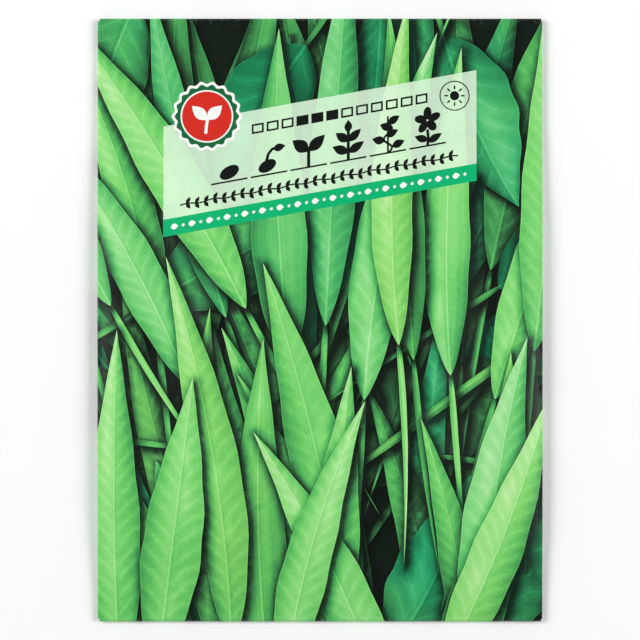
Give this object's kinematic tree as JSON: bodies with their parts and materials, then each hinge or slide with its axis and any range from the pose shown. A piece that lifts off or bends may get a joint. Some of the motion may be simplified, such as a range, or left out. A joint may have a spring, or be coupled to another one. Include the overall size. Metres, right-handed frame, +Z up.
{
  "type": "seed packet",
  "caption": "Flat rectangular paper seed packet, folded from one printed sheet, glued shut and bulging over the loose bean seeds inside.",
  "frame": {"origin": "middle of the outline, on the surface that the packet lies on", "axes": "+X to the right of the print, +Y towards the top flap, +Z up, out of the printed front"},
  "size_m": [0.118, 0.16, 0.0077],
  "materials": {
    "printed_paper": "coated paper printed in greens on the outside, bare white inside, satin",
    "dried_glue": "thin dried adhesive, slightly yellow and satin",
    "bean_skin": "smooth creamy white seed coat, satin"
  },
  "bodies": {
    "root": {"paper_packet": "printed_paper", "glue_side_seam": "dried_glue", "glue_bottom_flap": "dried_glue", "glue_top_flap": "dried_glue", "seed_01": "bean_skin", "seed_02": "bean_skin", "seed_03": "bean_skin", "seed_04": "bean_skin", "seed_05": "bean_skin", "seed_06": "bean_skin", "seed_07": "bean_skin", "seed_08": "bean_skin", "seed_09": "bean_skin", "seed_10": "bean_skin", "seed_11": "bean_skin", "seed_12": "bean_skin", "seed_13": "bean_skin", "seed_14": "bean_skin", "seed_15": "bean_skin", "seed_16": "bean_skin", "seed_17": "bean_skin", "seed_18": "bean_skin", "seed_19": "bean_skin", "seed_20": "bean_skin", "seed_21": "bean_skin", "seed_22": "bean_skin", "seed_23": "bean_skin", "seed_24": "bean_skin", "seed_25": "bean_skin", "seed_26": "bean_skin", "seed_27": "bean_skin", "seed_28": "bean_skin", "seed_29": "bean_skin", "seed_30": "bean_skin", "seed_31": "bean_skin", "seed_32": "bean_skin", "seed_33": "bean_skin", "seed_34": "bean_skin", "seed_35": "bean_skin", "seed_36": "bean_skin", "seed_37": "bean_skin", "seed_38": "bean_skin", "seed_39": "bean_skin", "seed_40": "bean_skin", "seed_41": "bean_skin", "seed_42": "bean_skin", "seed_43": "bean_skin", "seed_44": "bean_skin", "seed_45": "bean_skin"}
  },
  "joints": []
}
